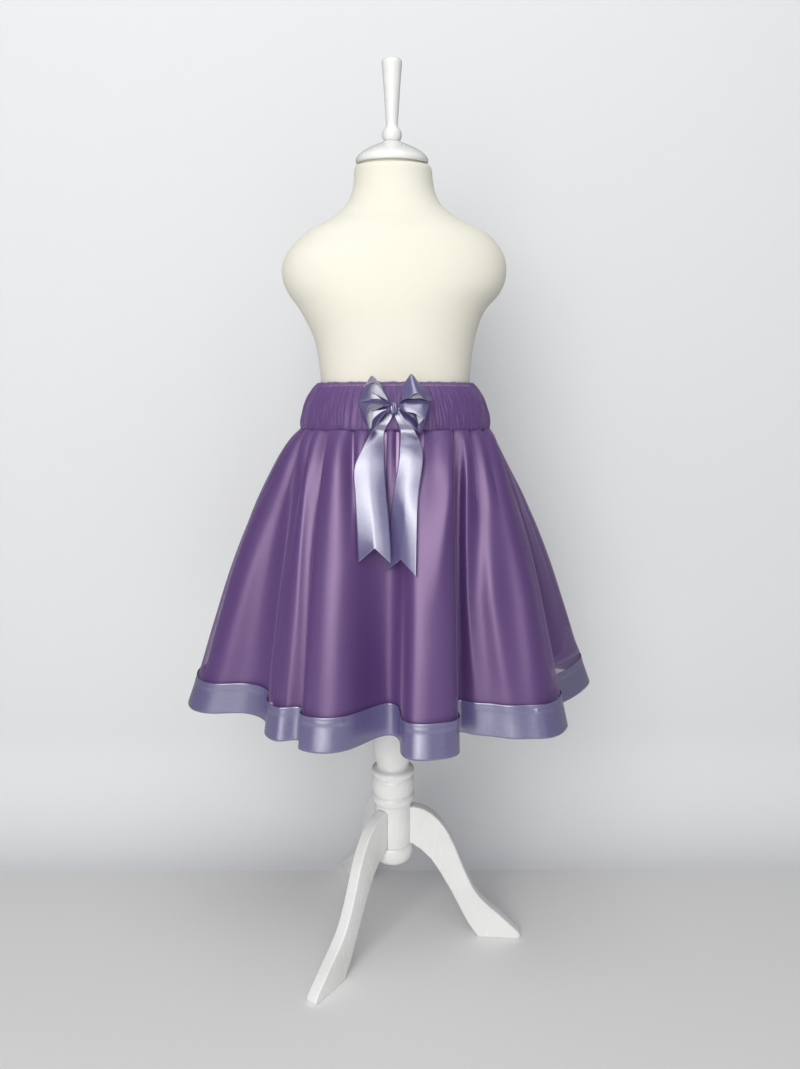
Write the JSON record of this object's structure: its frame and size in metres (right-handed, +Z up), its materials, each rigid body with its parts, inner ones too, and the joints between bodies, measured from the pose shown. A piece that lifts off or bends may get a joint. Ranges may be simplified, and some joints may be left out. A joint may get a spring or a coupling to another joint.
{
  "type": "tulle skirt on a child's dress form with a tripod stand",
  "caption": "Gathered tulle skirt with a satin lining, wide waistband, ribbon hem and bow, worn by a limbless child's dress form on a turned tripod stand.",
  "frame": {"origin": "on the floor under the middle of the whole part's bounding box", "axes": "+Z up along the stand's column, -Y towards the front where the bow is, +X to the viewer's right"},
  "size_m": [0.5366, 0.3924, 1.0996],
  "materials": {
    "sheer_tulle": "sheer matte net with a faint sheen",
    "purple_satin": "soft satin sheen",
    "lavender_satin_ribbon": "bright satin sheen",
    "cream_jersey": "matte fine knit",
    "white_gloss_paint": "gloss white paint"
  },
  "bodies": {
    "root": {"skirt_tulle": "sheer_tulle", "skirt_lining": "purple_satin", "waistband_satin": "purple_satin", "waistband_tulle": "sheer_tulle", "hem_ribbon": "lavender_satin_ribbon", "bow_loop_upper_left": "lavender_satin_ribbon", "bow_loop_upper_right": "lavender_satin_ribbon", "bow_loop_lower_left": "lavender_satin_ribbon", "bow_loop_lower_right": "lavender_satin_ribbon", "bow_knot": "lavender_satin_ribbon", "bow_tail_left": "lavender_satin_ribbon", "bow_tail_right": "lavender_satin_ribbon", "form_torso": "cream_jersey", "neck_cap": "white_gloss_paint", "neck_finial": "white_gloss_paint", "stand_column": "white_gloss_paint", "stand_knob": "white_gloss_paint", "leg_right": "white_gloss_paint", "leg_front_left": "white_gloss_paint", "leg_back_left": "white_gloss_paint"}
  },
  "joints": []
}
